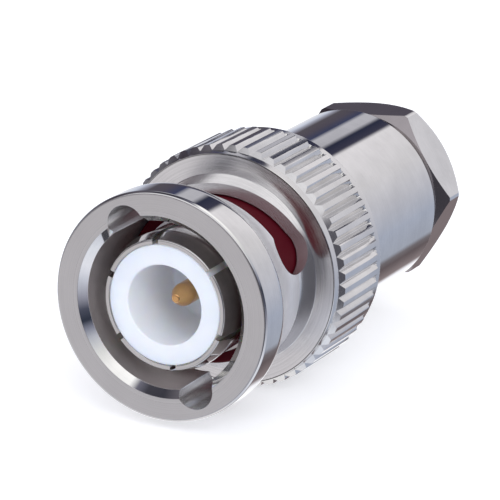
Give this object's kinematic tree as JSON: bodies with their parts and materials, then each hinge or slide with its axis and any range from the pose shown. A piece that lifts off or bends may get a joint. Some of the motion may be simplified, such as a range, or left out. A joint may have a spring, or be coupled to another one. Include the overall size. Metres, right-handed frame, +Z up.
{
  "type": "bnc connector",
  "caption": "Clamp-type coaxial bayonet plug: knurled turning nut with two helical slots, slotted contact round a gilt pin, plain body and hexagon cable clamp nut.",
  "frame": {"origin": "centre of the coupling nut's front face, on the connector's axis", "axes": "+Y along the axis from the mating end to the cable end, +Z up, the connector lying with one flat of its hexagon down"},
  "size_m": [0.0144, 0.0288, 0.0144],
  "materials": {
    "nickel_plate": "bright nickel plating over brass",
    "spring_bronze": "satin",
    "white_insulator": "waxy",
    "gilt": "gold plating over brass",
    "red_silicone": "matte",
    "black_rubber": "matte"
  },
  "bodies": {
    "plug_body": {"body_shell": "nickel_plate", "outer_contact": "nickel_plate", "front_insulator": "white_insulator", "rear_insulator": "white_insulator", "centre_pin": "gilt", "interface_gasket": "red_silicone", "braid_clamp": "nickel_plate", "cable_gasket": "black_rubber", "front_spring_washer": "spring_bronze"},
    "spring_spacer": {"spacer_washer": "nickel_plate", "rear_spring_washer": "spring_bronze"},
    "nut_thrust": {"thrust_washer": "nickel_plate"},
    "nut": {"coupling_nut": "nickel_plate"},
    "clamp_thrust": {"slip_washer": "nickel_plate"},
    "clamp": {"clamp_nut": "nickel_plate"}
  },
  "joints": [
    {"name": "nut_travel", "type": "slide", "parent": "plug_body", "child": "nut_thrust", "axis": [0, -1, 0], "range_m": [0, 0.0011], "stiffness_N_per_m": 5000, "springref_m": -0.0005, "deforming": ["front_spring_washer", "rear_spring_washer"]},
    {"name": "nut_turn", "type": "hinge", "parent": "nut_thrust", "child": "nut", "pos_m": [0, 0.01335, 0], "axis": [0, 1, 0], "continuous": true},
    {"name": "spacer_travel", "type": "slide", "parent": "plug_body", "child": "spring_spacer", "axis": [0, -1, 0], "range_m": [0, 0.0006]},
    {"name": "clamp_travel", "type": "slide", "parent": "plug_body", "child": "clamp_thrust", "axis": [0, 1, 0], "range_m": [-0.0013, 0.0016]},
    {"name": "clamp_turn", "type": "hinge", "parent": "clamp_thrust", "child": "clamp", "pos_m": [0, 0.024, 0], "axis": [0, 1, 0], "range_deg": [-600, 740]}
  ],
  "couplings": [
    {"joint": "spacer_travel", "follows": "nut_travel", "ratio": 0.5},
    {"joint": "clamp_turn", "follows": "clamp_travel", "rad_per_m": 7915.8}
  ]
}
